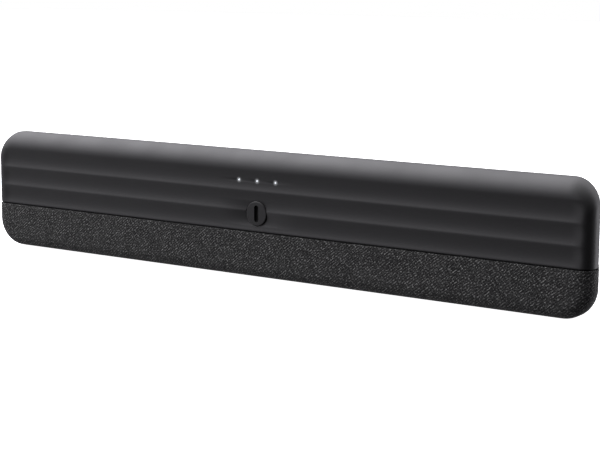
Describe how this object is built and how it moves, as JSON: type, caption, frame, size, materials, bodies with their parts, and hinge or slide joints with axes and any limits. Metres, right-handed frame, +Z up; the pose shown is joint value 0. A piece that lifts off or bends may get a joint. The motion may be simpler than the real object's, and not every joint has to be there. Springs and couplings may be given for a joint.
{
  "type": "soundbar",
  "caption": "Compact television soundbar: fluted charcoal shell above a grey cloth grille, with round front button, status lights, rear socket bay, bass ports and wall keyholes.",
  "frame": {"origin": "on the table, at the middle of the bounding box of the whole bar", "axes": "+X along the bar to the right as the listener sees it, +Z up, front faces -Y"},
  "size_m": [0.6, 0.075, 0.108],
  "materials": {
    "shell_plastic": "fine-grained satin charcoal moulding",
    "button_plastic": "satin charcoal moulding",
    "grille_cloth": "heathered dark grey twill knit",
    "frame_plastic": "plain black moulding",
    "soft_rubber": "matt black",
    "light_guide": "clear, lit white",
    "circuit_board": "green solder mask",
    "black_component": "moulded black",
    "paper_cone": "coated black paper",
    "plated_steel": "zinc plated",
    "fin_aluminium": "plain extrusion",
    "cable_jacket": "black jacket"
  },
  "bodies": {
    "case": {"aux_socket": "black_component", "bottom_plate": "frame_plastic", "button_switch": "black_component", "case_screw_1": "plated_steel", "case_screw_2": "plated_steel", "case_screw_3": "plated_steel", "case_screw_4": "plated_steel", "case_screw_5": "plated_steel", "case_screw_6": "plated_steel", "centre_light_pipe": "light_guide", "chassis": "frame_plastic", "front_board": "circuit_board", "front_left_foot": "soft_rubber", "front_right_foot": "soft_rubber", "grille_fabric": "grille_cloth", "grille_frame": "frame_plastic", "hdmi_socket": "plated_steel", "heatsink": "fin_aluminium", "left_bass_port": "frame_plastic", "left_driver_basket": "black_component", "left_driver_gasket": "soft_rubber", "left_driver_magnet": "plated_steel", "left_driver_surround": "soft_rubber", "left_keyhole_plate": "plated_steel", "left_light_pipe": "light_guide", "left_speaker_cable": "cable_jacket", "left_tweeter": "black_component", "main_board": "circuit_board", "port_panel": "frame_plastic", "power_board": "circuit_board", "power_inlet": "black_component", "power_link_cable": "cable_jacket", "radio_module": "plated_steel", "rear_housing": "shell_plastic", "rear_left_foot": "soft_rubber", "rear_right_foot": "soft_rubber", "ribbon_cable": "cable_jacket", "right_bass_port": "frame_plastic", "right_driver_basket": "black_component", "right_driver_gasket": "soft_rubber", "right_driver_magnet": "plated_steel", "right_driver_surround": "soft_rubber", "right_keyhole_plate": "plated_steel", "right_light_pipe": "light_guide", "right_speaker_cable": "cable_jacket", "right_tweeter": "black_component", "seam_gasket": "soft_rubber", "upper_shell": "shell_plastic", "usb_socket": "plated_steel"},
    "front_button": {"front_button": "button_plastic", "button_plunger": "black_component"},
    "pairing_button": {"pairing_button": "soft_rubber"},
    "left_cone": {"left_driver_cone": "paper_cone"},
    "right_cone": {"right_driver_cone": "paper_cone"}
  },
  "joints": [
    {"name": "front_button_press", "type": "slide", "parent": "case", "child": "front_button", "axis": [0, 1, 0], "range_m": [0, 0.0008], "stiffness_N_per_m": 900},
    {"name": "pairing_button_press", "type": "slide", "parent": "case", "child": "pairing_button", "axis": [0, -1, 0], "range_m": [0, 0.0006], "stiffness_N_per_m": 900},
    {"name": "left_cone_travel", "type": "slide", "parent": "case", "child": "left_cone", "axis": [0, -1, 0], "range_m": [-0.0015, 0.0015], "stiffness_N_per_m": 1200},
    {"name": "right_cone_travel", "type": "slide", "parent": "case", "child": "right_cone", "axis": [0, -1, 0], "range_m": [-0.0015, 0.0015], "stiffness_N_per_m": 1200}
  ]
}
